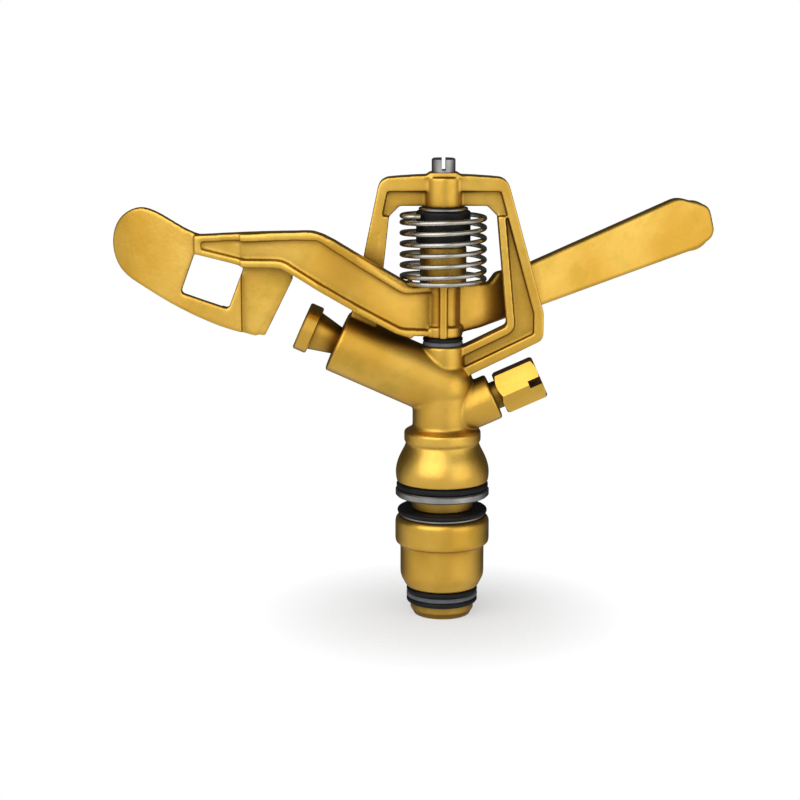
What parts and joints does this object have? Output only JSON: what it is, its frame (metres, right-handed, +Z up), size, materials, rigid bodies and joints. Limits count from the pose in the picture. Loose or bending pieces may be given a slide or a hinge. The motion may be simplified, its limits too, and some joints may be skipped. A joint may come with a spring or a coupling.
{
  "type": "impulse sprinkler",
  "caption": "Impulse sprinkler: a turning brass head with a range nozzle, a spreader nozzle and a bridge that holds a sprung, swinging drive arm over a bearing nipple.",
  "frame": {"origin": "on the bearing axis at the underside of the nipple's collar, where the sprinkler stands on its riser", "axes": "+Z up along the bearing axis, -X towards the range nozzle, the bridge in the XZ plane, the arm's tail on the +Y side at rest"},
  "size_m": [0.1906, 0.0502, 0.1439],
  "materials": {
    "brass_casting": "satin cast brass",
    "brass_turned": "turned brass",
    "steel": "plain steel",
    "spring_steel": "drawn spring wire",
    "black_rubber": "black rubber",
    "grey_plastic": "grey slip washer",
    "black_plastic": "black moulded",
    "bush_plastic": "plain bearing plastic"
  },
  "bodies": {
    "base": {"bearing_nipple": "brass_turned", "lower_rubber_washer": "black_rubber", "lower_slip_washer": "grey_plastic", "lower_seal_washer": "black_rubber", "collar_steel_washer": "steel", "collar_rubber_washer": "black_rubber", "spacer_ring": "brass_turned", "dust_steel_washer": "steel", "dust_rubber_ring": "black_rubber", "bearing_spring": "spring_steel"},
    "head": {"body_casting": "brass_casting", "bearing_tube": "brass_turned", "thrust_washer": "grey_plastic", "tube_gasket": "black_rubber", "main_nozzle": "brass_turned", "spreader_nozzle": "brass_turned", "fulcrum_pin": "steel", "hub_steel_washer": "grey_plastic", "hub_rubber_washer": "black_rubber", "spring_cap": "black_plastic", "cap_washer": "steel", "arm_spring": "spring_steel"},
    "arm": {"drive_arm": "brass_casting", "arm_bush_lower": "bush_plastic", "arm_bush_upper": "bush_plastic"}
  },
  "joints": [
    {"name": "head_rotation", "type": "hinge", "parent": "base", "child": "head", "pos_m": [0, 0, 0], "axis": [0, 0, 1], "continuous": true},
    {"name": "arm_swing", "type": "hinge", "parent": "head", "child": "arm", "pos_m": [0, 0, 0.07], "axis": [0, 0, 1], "range_deg": [0, 120], "stiffness_Nm_per_rad": 0.03, "springref_deg": -40, "deforming": ["arm_spring"]}
  ]
}
